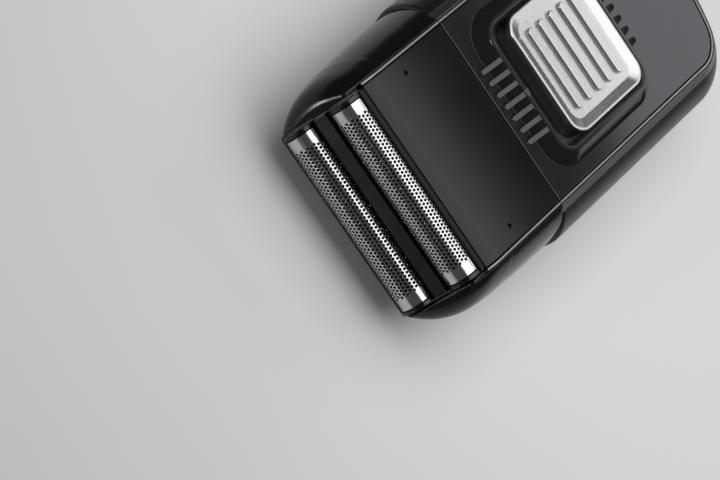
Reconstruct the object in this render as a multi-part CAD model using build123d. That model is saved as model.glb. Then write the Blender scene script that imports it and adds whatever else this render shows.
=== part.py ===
from build123d import *
import math
import os

# Electric foil shaver lying on its back, in millimetres.
# X runs across, Y from the foils to the tail, Z up out of the flat front.
# Pieces are modelled with Y = 0 on the split between head and body,
# and are moved along Y at the end so that the origin is under the middle.

# Outer form of the body
case_depth = 28.0
body_length = 87.5
panel_width = 50.0
panel_edge = 0.25
trim_width = 0.5
trim_gap = 0.25
trim_proud = 0.1
bezel_run = 2.0
bezel_land = 0.35
bezel_height = 1.6
body_flank = 8.0
split_round = 1.0
widest_level = 15.0
rest_width = 32.0
rest_tail_inset = 18.0
heel_run = 1.0
heel_level = 3.0
heel_inset = 6.0
tail_radius = 80.0
plate_corner = 9.0
widest_corner = 17.0
tail_flank = 8.7
wall = 2.0
roof = 1.5
seal_thickness = 0.3
seal_inset = 0.5
seam_gap = 0.2

# Thumb slide and its pocket in the face plate
slide_width = 32.6
slide_length = 30.4
slide_height = 4.8
slide_corner = 4.6
corner_ease = 1.4
slide_tail_edge = 43.4
slide_travel = 3.5
slide_gap = 0.6
slide_float = 0.3
slide_land = 0.65
slide_edge = 0.3
dish_run = 2.2
dish_depth = 0.9
field_corner = 3.0
grip_count = 5
grip_pitch = 4.45
grip_width = 2.2
grip_length = 22.6
grip_height = 0.85
grip_edge = 0.2
tray_wall = 0.9
tray_floor = 1.6
tray_sink = 0.8
tray_flange = 1.2
tray_lip_drop = 0.15
tray_chamfer = 0.6
lip_wall = 0.8
lip_height = 3.2
mound_run = 2.9
rib_width = 1.3
rib_pitch = 3.27
head_rib_count = 7
tail_rib_count = 6
rib_length = 5.5
rib_tip_height = 0.5
lens_width = 1.9
lens_depth = 1.2
lens_height = 1.4
lens_proud = 0.1

# Head
head_flank = 7.0
head_rise = 0.8
# Upright stations of the head near the split: distance from it, how much narrower, how much higher
split_stations = [(0.0, 0.0, 0.0), (11.0, 0.1, 0.1)]
# Slanted stations of the domed cheeks: level along the foils' normal, how much narrower,
# how far the front edge drops, how far the back stands behind the cassette frame
cheek_stations = [(-9.0, 0.9, 0.0, -0.75), (-6.2, 1.15, 0.05, -0.1), (-3.5, 1.6, 0.15, 0.4),
                  (-0.9, 2.4, 0.5, 0.65), (1.3, 4.0, 1.3, 0.4), (2.6, 6.6, 2.6, -1.2)]
head_bottom_width = 38.0
mouth_bottom_width = 47.0
head_bottom_corner = 8.0
mouth_bottom_corner = 4.0
head_widest_level = 14.5
head_wall = 1.6
panel_thickness = 2.0
panel_nose_drop = 3.5
panel_nose_length = 7.0
panel_roll_radius = 8.0
panel_roll_angle = 30.0
ledge_width = 3.0
ledge_depth = 2.0
ledge_length = 22.0
dimple_radius = 0.6
dimple_depth = 0.6
dimple_spacing = 42.4
dimple_from_split = 17.3
cheek_hollow_length = 20.0
snap_reach = 4.0
snap_thickness = 1.8
snap_height = 7.0
snap_play = 0.2

# Foil cassette, in its own slanted frame
slant = 25.0
cassette_y = 35.7
cassette_front_margin = 0.53
cassette_back_margin = 6.53
foil_radius = 4.25
foil_thickness = 0.25
foil_length = 47.4
foil_end_gap = 0.3
end_cap_length = 0.9
end_cap_rim = 0.15
carrier_rail = 0.4
carrier_drop = 1.5
carrier_play = 0.05
frame_width = 50.4
frame_side_wall = 0.575
frame_top = 0.6
frame_corner = 1.0
cheek_play = 0.2
panel_play = 0.1
tongue_play = 0.3
tongue_thickness = 1.2
tongue_length = 6.0
shelf_length = 3.5
shelf_thickness = 2.0
seat_play = 0.02
divider_setback = 0.375
divider_height = 1.2
divider_chamfer = 0.1

# Cutters and drive
cutter_gap = 0.15
cutter_stroke = 1.2
cutter_end_gap = 0.5
cutter_base_width = 4.8
cutter_base_drop = 5.6
cutter_base_inset = 1.0
blade_pitch = 2.0
blade_slot = 0.9
blade_root = 0.9
cutter_lift = 1.2
peg_radius = 1.3
peg_play = 0.1
peg_height = 4.4
peg_end_gap = 0.4
spring_height = 2.4
spring_outer = 2.2
spring_inner = 1.5
pad_half = 2.0
arm_width = 8.0
arm_front_root = 7.5
arm_rear_root = 4.7
bridge_width = 20.0
bridge_near = 16.0
bridge_thickness = 4.0
bridge_top_gap = 5.5
rod_radius = 1.0
rod_play = 0.05
rod_below_axis = 3.6
rod_below_top = 5.0
rod_low_margin = 1.6
chassis_width = 46.0
chassis_bottom = 4.2
chassis_top_gap = 4.0
chassis_front = 1.0
chassis_back = 3.0
ear_thickness = 3.0
ear_inner = 14.0
ear_low_margin = 1.9
ear_high_margin = 4.5
ear_tip = 22.0
foot_length = 6.5
foot_width = 8.0
foot_thickness = 2.0
foot_spacing = 36.0

# Motor and cam
motor_lift = 1.5
motor_headroom = 0.7
motor_diameter = 20.0
motor_length = 25.0
motor_wall = 1.0
motor_cap_length = 3.0
motor_boss_radius = 3.0
motor_boss_length = 2.0
boss_play = 0.2
shaft_radius = 1.0
shaft_play = 0.05
armature_air = 1.5
armature_length = 13.0
armature_gap = 5.0
cam_radius = 3.5
cam_length = 6.0
cam_start = 4.0
pin_radius = 0.8
pin_throw = 1.2
pin_length = 9.0
pin_clear = 0.3
seal_ring_radius = 5.0
seal_ring_depth = 1.5
motor_screw_spacing = 13.0

# Power
cell_headroom = 1.8
cell_tail_room = 12.0
cell_lift = 1.2
cell_gap = 1.5
tab_thickness = 0.3
tab_width = 5.0
cradle_width = 18.0
cradle_thickness = 2.0
cradle_inset = 9.0
cradle_height = 4.0
board_width = 28.0
board_start = 7.0
board_tail_room = 5.0
board_thickness = 1.6
post_radius = 1.8
post_spacing = 25.2
post_front = 33.0
post_back_inset = 8.5
socket_width = 9.0
socket_height = 3.2
socket_length = 7.4
socket_wall = 0.3
socket_tongue = 0.7
socket_play = 0.2
socket_back_wall = 1.0

# Slide carrier and switch
cap_wall = 1.3
cap_roof = 2.4
stem_width = 8.0
stem_length = 6.0
stem_play = 0.3
foot_plate_width = 14.0
foot_plate_length = 10.0
foot_plate_thickness = 1.1
foot_plate_gap = 0.3
switch_width = 8.6
switch_length = 10.0
switch_height = 2.6
switch_gap = 0.8
lever_width = 2.0
lever_root = 1.4
lever_play = 0.2

# Fasteners
screw_radius = 1.0
screw_head_radius = 1.9
screw_head_height = 1.2
screw_pilot_depth = 6.0
screw_slot_depth = 0.5
screw_slot_radius = 0.9
case_screw_spacing = 45.0
case_screw_front = 15.0
case_screw_tail_inset = 21.5
case_screw_seat = 4.0
boss_radius = 3.0
bore_play = 0.2

# Values worked out from the sizes above
plate_half = panel_width / 2
trim_zone = trim_width + 2 * trim_gap
trim_half = plate_half + trim_zone
widest_half = trim_half + body_flank
shoulder = case_depth - bezel_height
trim_tail = body_length - tail_flank
plate_tail = trim_tail - trim_zone
tray_floor_level = case_depth - tray_sink
slide_head_edge = slide_tail_edge - slide_length
slide_middle = (slide_tail_edge + slide_head_edge) / 2
pocket_head = slide_head_edge - slide_travel - slide_gap
pocket_tail = slide_tail_edge + slide_gap
pocket_width = slide_width + 2 * slide_gap
pocket_length = pocket_tail - pocket_head
pocket_middle = (pocket_tail + pocket_head) / 2
pocket_corner = slide_corner + slide_gap - corner_ease
slide_bottom = tray_floor_level + slide_float
slide_top = slide_bottom + slide_height
head_half = trim_half + head_flank
sin_slant = math.sin(math.radians(slant))
cos_slant = math.cos(math.radians(slant))
cap_radius = foil_radius + end_cap_rim
slot_half = cap_radius + carrier_play
cassette_front = case_depth - cassette_front_margin
cassette_level = (cassette_front + cassette_back_margin) / 2
frame_half_depth = (cassette_front - cassette_back_margin) / 2 / cos_slant
foil_pitch = 2 * (frame_half_depth - slot_half - frame_side_wall)
divider_width = foil_pitch - 2 * slot_half - 2 * divider_setback
shelf_middle = frame_half_depth - shelf_length
tongue_width = 2 * (shelf_middle - shelf_length / 2 - tongue_play)
channel_half = frame_width / 2 + cheek_play
cutter_radius = foil_radius - foil_thickness - cutter_gap
cutter_half = foil_length / 2 - cutter_stroke - cutter_end_gap
peg_bore_depth = peg_height - spring_height + cutter_lift + peg_end_gap
foot_plate_top = tray_floor_level - tray_floor - foot_plate_gap
foot_plate_bottom = foot_plate_top - foot_plate_thickness
board_top = foot_plate_bottom - switch_gap - switch_height
board_level = board_top - board_thickness
board_end = body_length - board_tail_room
post_back = board_end - post_back_inset
motor_front = chassis_back
motor_back = motor_front + motor_length
motor_low = wall + motor_lift
motor_high = board_level - motor_headroom
motor_flat = motor_high - motor_low
motor_axis_level = (motor_high + motor_low) / 2
armature_radius = motor_flat / 2 - motor_wall - armature_air
cell_start = motor_back + motor_cap_length + cell_gap
cell_length = body_length - cell_tail_room - cell_start
cell_radius = (board_level - wall - cell_lift - cell_headroom) / 2
cell_level = wall + cell_lift + cell_radius
bridge_top = case_depth - bridge_top_gap
rod_high_level = bridge_top - rod_below_top
rod_low_level = motor_axis_level - rod_below_axis
bridge_bottom = rod_low_level - rod_low_margin
rod_length = 2 * (ear_inner + ear_thickness)
ear_bottom = rod_low_level - ear_low_margin
ear_top = rod_high_level + ear_high_margin
chassis_top = case_depth - chassis_top_gap
case_screw_back = body_length - case_screw_tail_inset
head_reach = cassette_y + sin_slant * foil_pitch / 2 + cap_radius
centre_shift = (head_reach - body_length) / 2

slanted = Plane(origin=(0, -cassette_y, cassette_level), x_dir=(1, 0, 0),
                z_dir=(0, -cos_slant, sin_slant))


def on_slant(along, up):
    """Y and Z of a point in the slanted frame, along it towards the front and up out of it."""
    y = -cassette_y + sin_slant * along - cos_slant * up
    z = cassette_level + cos_slant * along + sin_slant * up
    return y, z


def block(x_low, x_high, y_low, y_high, z_low, z_high):
    """Box between two corners."""
    size = (x_high - x_low, y_high - y_low, z_high - z_low)
    middle = ((x_high + x_low) / 2, (y_high + y_low) / 2, (z_high + z_low) / 2)
    return Pos(*middle) * Box(*size)


def rod_along_y(radius, y_low, y_high, x, z):
    """Cylinder along Y between two places."""
    middle = Pos(x, (y_low + y_high) / 2, z)
    return middle * Rot(90, 0, 0) * Cylinder(radius, y_high - y_low)


def rod_up(radius, x, y, z_low, z_high):
    """Upright cylinder between two levels."""
    return Pos(x, y, (z_low + z_high) / 2) * Cylinder(radius, z_high - z_low)


def rod_across(radius, length, y, z):
    """Cylinder along X, centred on the middle plane."""
    return Pos(0, y, z) * Rot(0, 90, 0) * Cylinder(radius, length)


def tail_outline(half, tail, corner, start):
    """U-shaped outline: straight sides, rounded corners and a bowed tail."""
    shoulder_y = tail - (tail_radius - math.sqrt(tail_radius ** 2 - half ** 2))
    sides = [Line((half, start), (half, shoulder_y)),
             ThreePointArc((half, shoulder_y), (0, tail), (-half, shoulder_y)),
             Line((-half, shoulder_y), (-half, start)),
             Line((-half, start), (half, start))]
    face = make_face(sides)
    corners = face.vertices().sort_by(Axis.Y)[2:4]
    return fillet(corners, corner)


def prism(outline, z_low, z_high):
    """Outline raised from one level to another."""
    return Pos(0, 0, z_low) * extrude(outline, z_high - z_low)


def body_form(inset, floor, top, start):
    """Swelling body between two levels, moved inwards by inset and cut flat below."""
    widest_tail = body_length - inset
    heel = [(floor - heel_run, rest_width / 2 - inset, widest_tail - rest_tail_inset),
            (floor + heel_level, widest_half - heel_inset - inset, widest_tail - heel_inset)]
    upper = [(widest_level, widest_half - inset, widest_tail),
             (top, trim_half + bezel_run - inset, trim_tail + bezel_run - inset)]
    sections = []
    for level, half, tail in heel + upper:
        corner = widest_corner - inset - (widest_half - inset - half) / 2
        sections.append(Pos(0, 0, level) * tail_outline(half, tail, corner, start))
    reach = 2 * widest_half
    return loft(sections) - block(-reach, reach, -reach, body_length + reach, floor - reach, floor)


def body_skin():
    """Outer wall of the body, open at the split, where the ends of its flanks are rounded."""
    outer = body_form(0, 0, shoulder, 0)
    flank_ends = [edge for edge in outer.edges().filter_by_position(Axis.Y, 0, 0)
                  if abs(edge.center().X) > rest_width / 2]
    outer = fillet(flank_ends, split_round)
    inner = body_form(wall, wall, shoulder - roof, -wall)
    return outer - inner


def case_screw_places():
    """Plan positions of the four case screws."""
    places = []
    for side in (-1, 1):
        for y in (case_screw_front, case_screw_back):
            places.append((side * case_screw_spacing / 2, y))
    return places


def make_rear_shell(skin):
    """Back half of the body with its cradles, posts and screw bosses."""
    top = widest_level - seal_thickness / 2
    reach = widest_half + body_flank
    shell = skin & block(-reach, reach, 0, body_length, 0, top)
    inside = body_form(wall / 2, wall / 2, shoulder, 0)
    fittings = []
    for y in (cell_start + cradle_inset, cell_start + cell_length - cradle_inset):
        cradle = block(-cradle_width / 2, cradle_width / 2, y - cradle_thickness / 2,
                       y + cradle_thickness / 2, wall / 2, wall + cradle_height)
        fittings.append(cradle - rod_along_y(cell_radius, y - wall, y + wall, 0, cell_level))
    for x in (-post_spacing / 2, post_spacing / 2):
        for y in (post_front, post_back):
            fittings.append(rod_up(post_radius, x, y, wall / 2, board_level))
    for side in (-1, 1):
        x = side * foot_spacing / 2
        y = chassis_back + foot_length / 2
        fittings.append(rod_up(boss_radius, x, y, wall / 2, chassis_bottom))
    for x, y in case_screw_places():
        fittings.append(rod_up(boss_radius, x, y, 0, widest_level))
    for piece in fittings:
        shell += piece & inside
    for x, y in case_screw_places():
        shell -= rod_up(screw_radius + bore_play, x, y, 0, widest_level)
        shell -= rod_up(screw_head_radius + bore_play, x, y, 0, case_screw_seat)
    for side in (-1, 1):
        x = side * foot_spacing / 2
        y = chassis_back + foot_length / 2
        shell -= rod_up(screw_radius, x, y, chassis_bottom - wall, chassis_bottom)
    return shell


def make_front_shell(skin):
    """Front half of the body with its roof opening, bosses and socket slot."""
    bottom = widest_level + seal_thickness / 2
    reach = widest_half + body_flank
    shell = skin & block(-reach, reach, 0, body_length, bottom, shoulder)
    half_x = pocket_width / 2 + tray_wall + tray_flange + bore_play
    half_y = pocket_length / 2 + tray_wall + tray_flange + bore_play
    shell -= block(-half_x, half_x, pocket_middle - half_y, pocket_middle + half_y,
                   widest_level, shoulder)
    for x, y in case_screw_places():
        shell += rod_up(boss_radius, x, y, widest_level, shoulder - roof / 2)
        shell -= rod_up(screw_radius, x, y, widest_level, widest_level + screw_pilot_depth)
    mouth = block(-socket_width / 2 - socket_play, socket_width / 2 + socket_play,
                  board_end - socket_length, body_length,
                  board_top - socket_play, board_top + socket_height + socket_play)
    return shell - mouth


def make_case_seal():
    """Thin seal between the two halves of the body, set back from the flanks."""
    low = widest_level - seal_thickness / 2
    high = widest_level + seal_thickness / 2
    outer = tail_outline(widest_half - seal_inset, body_length - seal_inset,
                         widest_corner - seal_inset, 0)
    inner = tail_outline(widest_half - wall, body_length - wall, widest_corner - wall, -wall)
    return prism(outer, low, high) - prism(inner, low, high)


def make_case_screws():
    """Four screws from the back, heads sunk in the rear shell."""
    screws = []
    tip = widest_level + screw_pilot_depth
    for x, y in case_screw_places():
        head_low = case_screw_seat - screw_head_height
        screw = rod_up(screw_radius, x, y, case_screw_seat, tip)
        screw += rod_up(screw_head_radius, x, y, head_low, case_screw_seat)
        recess = Pos(x, y, head_low) * extrude(RegularPolygon(screw_slot_radius, 6),
                                               screw_slot_depth)
        screws.append(screw - recess)
    return Compound(children=[solid for screw in screws for solid in screw.solids()])


def rib(x, tip_y, lip_y):
    """One ramped rib with a round tip, from the face plate up to the lip."""
    middle = (tip_y + lip_y) / 2
    length = abs(lip_y - tip_y)
    side = Plane.YZ * make_face(Polyline((tip_y, shoulder), (tip_y, case_depth + rib_tip_height),
                                         (lip_y, case_depth + lip_height), (lip_y, shoulder),
                                         close=True))
    ramp = Pos(x - rib_width / 2, 0, 0) * extrude(side, rib_width, dir=(1, 0, 0))
    pill_length = length + rib_width
    toward_lip = math.copysign(rib_width / 2, lip_y - tip_y)
    pill = Pos(x, middle + toward_lip, 0) * Rot(0, 0, 90) * SlotOverall(pill_length, rib_width)
    return ramp & prism(pill, shoulder, case_depth + lip_height)


def lens_form(proud):
    """Oval of the indicator lens, astride the joint of lip and tray on the head side."""
    top = case_depth + lip_height
    oval = Pos(0, pocket_head - tray_wall, 0) * SlotOverall(lens_width, lens_depth)
    return prism(oval, top - lens_height, top + proud)


def make_face_plate():
    """Metal face plate with the mound round the pocket and its ribs."""
    plate = prism(tail_outline(plate_half, plate_tail, plate_corner, seam_gap),
                  shoulder, case_depth)
    plate = fillet(plate.faces().sort_by(Axis.Z)[-1].edges(), panel_edge)
    lip_x = pocket_width + 2 * (tray_wall + lip_wall)
    lip_y = pocket_length + 2 * (tray_wall + lip_wall)
    lip_corner = pocket_corner + tray_wall + lip_wall
    lip = Pos(0, pocket_middle, 0) * RectangleRounded(lip_x, lip_y, lip_corner)
    plate += prism(lip, shoulder, case_depth + lip_height)
    base = [edge for edge in plate.edges().filter_by_position(Axis.Z, case_depth, case_depth)
            if abs(edge.center().X) < lip_x / 2 + lip_wall
            and abs(edge.center().Y - pocket_middle) < lip_y / 2 + lip_wall]
    plate = chamfer(base, mound_run)
    lip_low = pocket_middle - lip_y / 2
    lip_high = pocket_middle + lip_y / 2
    for number in range(head_rib_count):
        x = (number - (head_rib_count - 1) / 2) * rib_pitch
        plate += rib(x, lip_low - rib_length, lip_low + lip_wall / 2)
    for number in range(tail_rib_count):
        x = (number - (tail_rib_count - 1) / 2) * rib_pitch
        plate += rib(x, lip_high + rib_length, lip_high - lip_wall / 2)
    opening = RectangleRounded(pocket_width + 2 * tray_wall, pocket_length + 2 * tray_wall,
                               pocket_corner + tray_wall)
    plate -= prism(Pos(0, pocket_middle, 0) * opening, 0, case_depth + 2 * lip_height)
    return plate - lens_form(0)


def make_body_trim():
    """Thin metal bead round the face plate, with a fine gap on each side."""
    outer = tail_outline(trim_half - trim_gap, trim_tail - trim_gap,
                         plate_corner + trim_zone - trim_gap, 0)
    inner = tail_outline(plate_half + trim_gap, plate_tail + trim_gap,
                         plate_corner + trim_gap, -wall)
    top = case_depth + trim_proud
    return prism(outer, shoulder, top) - prism(inner, 0, case_depth + wall)


def make_body_bezel():
    """Grey chamfer with a narrow land, between the trim and the flanks."""
    corner = plate_corner + trim_zone
    low = tail_outline(trim_half + bezel_run, trim_tail + bezel_run, corner + bezel_run, 0)
    high = tail_outline(trim_half + bezel_land, trim_tail + bezel_land, corner + bezel_land, 0)
    cone = loft([Pos(0, 0, shoulder) * low, Pos(0, 0, case_depth) * high], ruled=True)
    hole = tail_outline(trim_half, trim_tail, corner, -wall)
    return cone - prism(hole, 0, case_depth + wall)


def make_slide_tray():
    """Black liner of the pocket, with a flange under the face plate and a slot for the stem."""
    outer = RectangleRounded(pocket_width + 2 * tray_wall, pocket_length + 2 * tray_wall,
                             pocket_corner + tray_wall)
    flange_grow = 2 * (tray_wall + tray_flange)
    flange = RectangleRounded(pocket_width + flange_grow, pocket_length + flange_grow,
                              pocket_corner + tray_wall + tray_flange)
    pocket = RectangleRounded(pocket_width, pocket_length, pocket_corner)
    bottom = tray_floor_level - tray_floor
    tray = prism(outer, bottom, case_depth + lip_height - tray_lip_drop)
    tray += prism(flange, bottom, shoulder)
    tray -= prism(pocket, tray_floor_level, case_depth + 2 * lip_height)
    rim = tray.faces().filter_by(Axis.Z).sort_by(Axis.Z)[-1]
    tray = chamfer(rim.inner_wires()[0].edges(), tray_chamfer)
    tray = Pos(0, pocket_middle, 0) * tray - lens_form(0)
    stem_half = stem_width / 2 + stem_play
    slot = block(-stem_half, stem_half,
                 slide_middle - stem_length / 2 - slide_travel - stem_play,
                 slide_middle + stem_length / 2 + stem_play, 0, case_depth)
    return tray - slot


def sloped_dent(outline, floor_outline, level, depth):
    """Cutter for a flat-bottomed dent with sloping sides, sunk from the given level."""
    return loft([Pos(0, 0, level) * outline, Pos(0, 0, level - depth) * floor_outline], ruled=True)


def cap_inside():
    """Outline of the hollow under the thumb cap, which its carrier fills."""
    return RectangleRounded(slide_width - 2 * cap_wall, slide_length - 2 * cap_wall,
                            slide_corner - cap_wall)


def make_slide_cap():
    """Metal thumb cap: raised border, dished field and grip bars across it, hollow below."""
    cap = prism(RectangleRounded(slide_width, slide_length, slide_corner), slide_bottom, slide_top)
    cap = fillet(cap.faces().sort_by(Axis.Z)[-1].edges(), slide_edge)
    rim = RectangleRounded(slide_width - 2 * slide_land, slide_length - 2 * slide_land,
                           slide_corner - slide_land)
    inset = slide_land + dish_run
    field = RectangleRounded(slide_width - 2 * inset, slide_length - 2 * inset, field_corner)
    cap -= sloped_dent(rim, field, slide_top, dish_depth)
    roof = slide_top - cap_roof
    bar = prism(SlotOverall(grip_length, grip_width), roof, slide_top - dish_depth + grip_height)
    bar = fillet(bar.faces().sort_by(Axis.Z)[-1].edges(), grip_edge)
    for number in range(grip_count):
        y = (number - (grip_count - 1) / 2) * grip_pitch
        cap += Pos(0, y, 0) * bar
    cap -= prism(cap_inside(), slide_bottom, roof)
    return Pos(0, slide_middle, 0) * cap


def make_slide_carrier():
    """Plastic carrier in the cap, with a stem through the tray and a foot plate below it."""
    carrier = prism(cap_inside(), slide_bottom, slide_top - cap_roof)
    carrier += prism(Rectangle(stem_width, stem_length), foot_plate_bottom, slide_bottom)
    carrier += prism(Rectangle(foot_plate_width, foot_plate_length),
                     foot_plate_bottom, foot_plate_top)
    return Pos(0, slide_middle, 0) * carrier


def make_switch_lever():
    """Small lever of the electrical switch, pushed by the slide's foot plate."""
    low = board_top + switch_height - lever_root
    return Pos(0, slide_middle, 0) * prism(Rectangle(lever_width, lever_width),
                                           low, foot_plate_bottom)


def make_switch_housing():
    """Electrical slide switch on the board, with a slot for its lever."""
    middle = slide_middle - slide_travel / 2
    top = board_top + switch_height
    housing = block(-switch_width / 2, switch_width / 2, middle - switch_length / 2,
                    middle + switch_length / 2, board_top, top)
    half = lever_width / 2 + lever_play
    slot = block(-half, half, slide_middle - slide_travel - half, slide_middle + half,
                 top - lever_root - lever_play, case_depth)
    return housing - slot


def make_circuit_board():
    """Circuit board over the motor and the cell."""
    return block(-board_width / 2, board_width / 2, board_start, board_end, board_level, board_top)


def make_charge_socket():
    """Charge socket at the tail end of the board, with its contact tongue."""
    mouth_y = board_end
    shape = Rectangle(socket_width, socket_height)
    rounded = fillet(shape.vertices(), socket_height / 2 - socket_wall)
    hollow = offset(rounded, -socket_wall)
    level = board_top + socket_height / 2
    along = Plane(origin=(0, mouth_y, level), x_dir=(1, 0, 0), z_dir=(0, -1, 0))
    shell = extrude(along * rounded, socket_length)
    shell -= extrude(along * hollow, socket_length - socket_back_wall)
    tongue_half = socket_width / 2 - 3 * socket_wall - socket_tongue
    tongue = block(-tongue_half, tongue_half, mouth_y - socket_length + socket_back_wall / 2,
                   mouth_y - socket_back_wall,
                   level - socket_tongue / 2, level + socket_tongue / 2)
    return shell + tongue


def make_battery_cell():
    """Round lithium cell along the body."""
    return rod_along_y(cell_radius, cell_start, cell_start + cell_length, 0, cell_level)


def make_battery_tabs():
    """Two metal tabs from the ends of the cell up to the board."""
    ends = [(cell_start - tab_thickness, cell_start),
            (cell_start + cell_length, cell_start + cell_length + tab_thickness)]
    tabs = []
    for low, high in ends:
        tabs.append(block(-tab_width / 2, tab_width / 2, low, high, cell_level, board_level))
    return Compound(children=tabs)


def motor_outline(diameter, flat):
    """Round motor can with two flats."""
    return Circle(diameter / 2) & Rectangle(diameter, flat)


def motor_plane(y):
    """Plane across the motor axis, facing the tail."""
    return Plane(origin=(0, y, motor_axis_level), x_dir=(-1, 0, 0), z_dir=(0, 1, 0))


def motor_screw_places():
    """Places across the motor's nose of its two screws."""
    return [-motor_screw_spacing / 2, motor_screw_spacing / 2]


def make_motor_can():
    """Steel motor can, open at the back."""
    can = extrude(motor_plane(motor_front) * motor_outline(motor_diameter, motor_flat),
                  motor_length)
    inside = motor_outline(motor_diameter - 2 * motor_wall, motor_flat - 2 * motor_wall)
    can -= extrude(motor_plane(motor_front + motor_wall) * inside, motor_length)
    can -= rod_along_y(motor_boss_radius, motor_front, motor_front + 2 * motor_wall,
                       0, motor_axis_level)
    for x in motor_screw_places():
        can -= rod_along_y(screw_radius, motor_front, motor_front + 2 * motor_wall,
                           x, motor_axis_level)
    return can


def make_motor_end_cap():
    """Plastic cap that closes the back of the motor and holds the shaft's far end."""
    cap = extrude(motor_plane(motor_back) * motor_outline(motor_diameter, motor_flat),
                  motor_cap_length)
    bore_end = motor_back + motor_cap_length - motor_wall
    return cap - rod_along_y(shaft_radius + shaft_play, motor_back, bore_end, 0, motor_axis_level)


def make_motor_bushing():
    """Bronze bushing in the motor's nose."""
    low = motor_front - motor_boss_length
    high = motor_front + motor_wall
    ring = rod_along_y(motor_boss_radius, low, high, 0, motor_axis_level)
    return ring - rod_along_y(shaft_radius + shaft_play, low, high, 0, motor_axis_level)


def make_motor_shaft():
    """Motor shaft, from the end cap through the nose into the cam."""
    high = motor_back + motor_cap_length - 2 * motor_wall
    return rod_along_y(shaft_radius, -cam_start - cam_length / 2, high, 0, motor_axis_level)


def make_motor_armature():
    """Wound armature on the shaft, as one plain drum."""
    low = motor_front + armature_gap
    drum = rod_along_y(armature_radius, low, low + armature_length, 0, motor_axis_level)
    return drum - rod_along_y(shaft_radius, low, low + armature_length, 0, motor_axis_level)


def make_eccentric_cam():
    """Cam on the shaft's nose, with the off-centre pin that drives the bridge."""
    far = -cam_start - cam_length
    cam = rod_along_y(cam_radius, far, -cam_start, 0, motor_axis_level)
    cam += rod_along_y(pin_radius, far - pin_length, far, 0, motor_axis_level + pin_throw)
    return cam - rod_along_y(shaft_radius, -cam_start - cam_length / 2, -cam_start,
                             0, motor_axis_level)


def make_shaft_seal():
    """Soft ring in the bulkhead round the motor's nose."""
    low = -chassis_front
    ring = rod_along_y(seal_ring_radius, low, low + seal_ring_depth, 0, motor_axis_level)
    return ring - rod_along_y(shaft_radius + boss_play, low, low + seal_ring_depth,
                              0, motor_axis_level)


def make_motor_screws():
    """Two screws through the bulkhead into the motor's nose."""
    screws = []
    for x in motor_screw_places():
        seat = -chassis_front
        screw = rod_along_y(screw_radius, seat, motor_front + motor_wall, x, motor_axis_level)
        screw += rod_along_y(screw_head_radius, seat - screw_head_height, seat,
                             x, motor_axis_level)
        screws.append(screw)
    return Compound(children=[solid for screw in screws for solid in screw.solids()])


def make_drive_chassis():
    """Bulkhead between body and head, with feet for its screws and ears for the guide rods."""
    half = chassis_width / 2
    chassis = block(-half, half, -chassis_front, chassis_back, chassis_bottom, chassis_top)
    for side in (-1, 1):
        inner = side * ear_inner
        outer = side * (ear_inner + ear_thickness)
        chassis += block(min(inner, outer), max(inner, outer), -ear_tip, chassis_back,
                         ear_bottom, ear_top)
        x = side * foot_spacing / 2
        chassis += block(x - foot_width / 2, x + foot_width / 2, chassis_back - foot_thickness,
                         chassis_back + foot_length, chassis_bottom,
                         chassis_bottom + foot_thickness)
        chassis -= rod_up(screw_radius, x, chassis_back + foot_length / 2, chassis_bottom,
                          chassis_bottom + foot_thickness)
    for level in (rod_low_level, rod_high_level):
        chassis -= rod_across(rod_radius, rod_length, -bridge_near - bridge_thickness / 2, level)
    chassis -= rod_along_y(motor_boss_radius + boss_play, -chassis_front, chassis_back,
                           0, motor_axis_level)
    chassis -= rod_along_y(seal_ring_radius, -chassis_front, -chassis_front + seal_ring_depth,
                           0, motor_axis_level)
    for x in motor_screw_places():
        chassis -= rod_along_y(screw_radius, -chassis_front, chassis_back, x, motor_axis_level)
    return chassis


def make_chassis_screws():
    """Two screws that hold the chassis feet to the rear shell."""
    screws = []
    seat = chassis_bottom + foot_thickness
    for side in (-1, 1):
        x = side * foot_spacing / 2
        y = chassis_back + foot_length / 2
        screw = rod_up(screw_radius, x, y, chassis_bottom - wall, seat)
        screw += rod_up(screw_head_radius, x, y, seat, seat + screw_head_height)
        screws.append(screw)
    return Compound(children=[solid for screw in screws for solid in screw.solids()])


def make_guide_rods():
    """Two steel rods across the head that the bridge runs on."""
    y = -bridge_near - bridge_thickness / 2
    rods = [rod_across(rod_radius, rod_length, y, level)
            for level in (rod_low_level, rod_high_level)]
    return Compound(children=[solid for piece in rods for solid in piece.solids()])


def arm(top, bottom, along):
    """Arm of the bridge, from its plate to the slanted pad under one cutter."""
    near = -bridge_near - bridge_thickness / 2
    pad_level = -cutter_base_drop - spring_height
    high = on_slant(along + pad_half, pad_level)
    low = on_slant(along - pad_half, pad_level)
    side = Plane.YZ * make_face(Polyline((near, top), high, low, (near, bottom), close=True))
    return Pos(-arm_width / 2, 0, 0) * extrude(side, arm_width, dir=(1, 0, 0))


def slant_rod(radius, along, low, high):
    """Cylinder square to the foils, between two levels of the slanted frame."""
    return slanted * (Pos(0, along, (low + high) / 2) * Cylinder(radius, high - low))


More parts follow.
